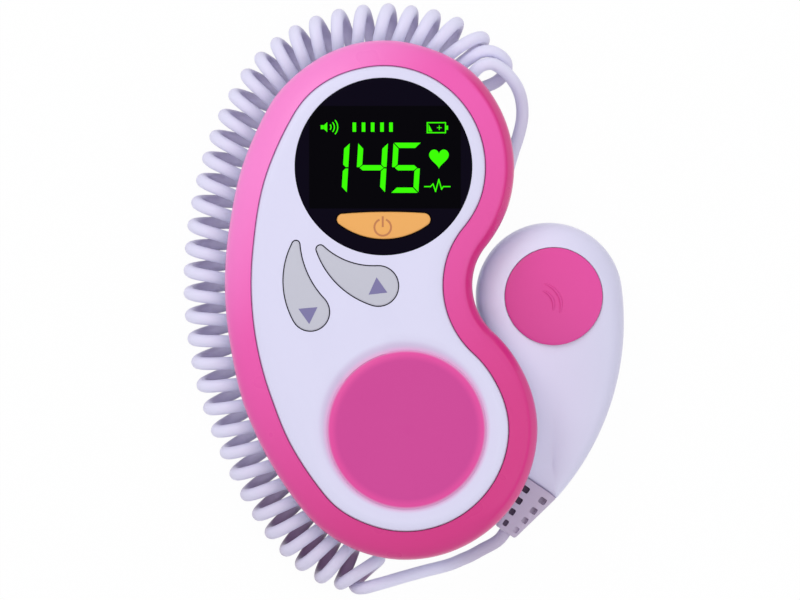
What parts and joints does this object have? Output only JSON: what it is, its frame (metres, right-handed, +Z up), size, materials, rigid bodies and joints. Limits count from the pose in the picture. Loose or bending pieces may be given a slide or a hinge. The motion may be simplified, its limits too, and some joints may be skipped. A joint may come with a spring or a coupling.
{
  "type": "fetal doppler monitor",
  "caption": "Pocket fetal heart monitor: kidney-shaped main unit with a round display, push buttons and a battery bay, joined by a curly cord to a rounded ultrasound probe.",
  "frame": {"origin": "middle of the footprint of the main unit and probe together, cord not counted, on the plane that the unit lies on", "axes": "+Z up out of the front face as it lies on its back, +Y from the lower lobe towards the display lobe, +X towards the side where the probe lies"},
  "size_m": [0.1192, 0.1595, 0.036],
  "materials": {
    "white_shell": "white moulded plastic, faintly lilac, satin",
    "pink_band": "glossy pink moulded plastic",
    "pink_disc": "satin pink moulded plastic",
    "black_lens": "black gloss window",
    "orange_key": "satin orange plastic",
    "grey_key": "pale grey satin plastic",
    "dark_plastic": "black moulded housing",
    "board_green": "green solder mask",
    "sprung_steel": "plain plated steel",
    "cell_wrap": "plain printed wrap",
    "cone_paper": "pressed paper",
    "lilac_cord": "smooth soft lilac-white jacket",
    "lilac_rubber": "matt lilac-grey moulding",
    "window_grey": "smooth acoustic plastic",
    "ceramic": "fired ceramic"
  },
  "bodies": {
    "main_unit": {"rear_case": "white_shell", "rim_band": "pink_band", "front_panel": "white_shell", "display_lens": "black_lens", "display_module": "dark_plastic", "front_disc": "pink_disc", "power_switch": "dark_plastic", "volume_down_switch": "dark_plastic", "volume_up_switch": "dark_plastic", "main_board": "board_green", "processor_chip": "dark_plastic", "amplifier_chip": "dark_plastic", "cord_connector": "dark_plastic", "battery_cell_1": "cell_wrap", "battery_cell_2": "cell_wrap", "battery_contact_top": "sprung_steel", "battery_contact_bottom": "sprung_steel", "speaker_frame": "sprung_steel", "speaker_cone": "cone_paper", "speaker_magnet": "dark_plastic", "case_screw_1": "sprung_steel", "case_screw_2": "sprung_steel", "case_screw_3": "sprung_steel", "case_screw_4": "sprung_steel", "main_cord_gland": "lilac_rubber", "cord_lead_main": "lilac_cord", "cord_coil": "lilac_cord", "cord_lead_probe": "lilac_cord"},
    "power_button": {"power_button": "orange_key"},
    "volume_down_button": {"volume_down_button": "grey_key"},
    "volume_up_button": {"volume_up_button": "grey_key"},
    "battery_door": {"battery_door": "white_shell"},
    "probe": {"probe_front_case": "white_shell", "probe_rear_case": "white_shell", "probe_disc": "pink_disc", "probe_board": "board_green", "probe_strain_relief": "lilac_rubber", "probe_screw_1": "sprung_steel", "probe_screw_2": "sprung_steel", "acoustic_window": "window_grey", "transmit_crystal": "ceramic", "receive_crystal": "ceramic", "crystal_backing": "dark_plastic"}
  },
  "joints": [
    {"name": "power_button_press", "type": "slide", "parent": "main_unit", "child": "power_button", "axis": [0, 0, -1], "range_m": [0, 0.0006], "stiffness_N_per_m": 600},
    {"name": "volume_down_press", "type": "slide", "parent": "main_unit", "child": "volume_down_button", "axis": [0, 0, -1], "range_m": [0, 0.0006], "stiffness_N_per_m": 600},
    {"name": "volume_up_press", "type": "slide", "parent": "main_unit", "child": "volume_up_button", "axis": [0, 0, -1], "range_m": [0, 0.0006], "stiffness_N_per_m": 600},
    {"name": "battery_door_tip", "type": "hinge", "parent": "main_unit", "child": "battery_door", "pos_m": [-0.01801, -0.0241, 0], "axis": [-1, 0, 0], "range_deg": [0, 75]},
    {"name": "probe_slide_out", "type": "slide", "parent": "main_unit", "child": "probe", "axis": [1, 0, 0], "range_m": [0, 0.04], "deforming": ["cord_lead_probe"]}
  ]
}
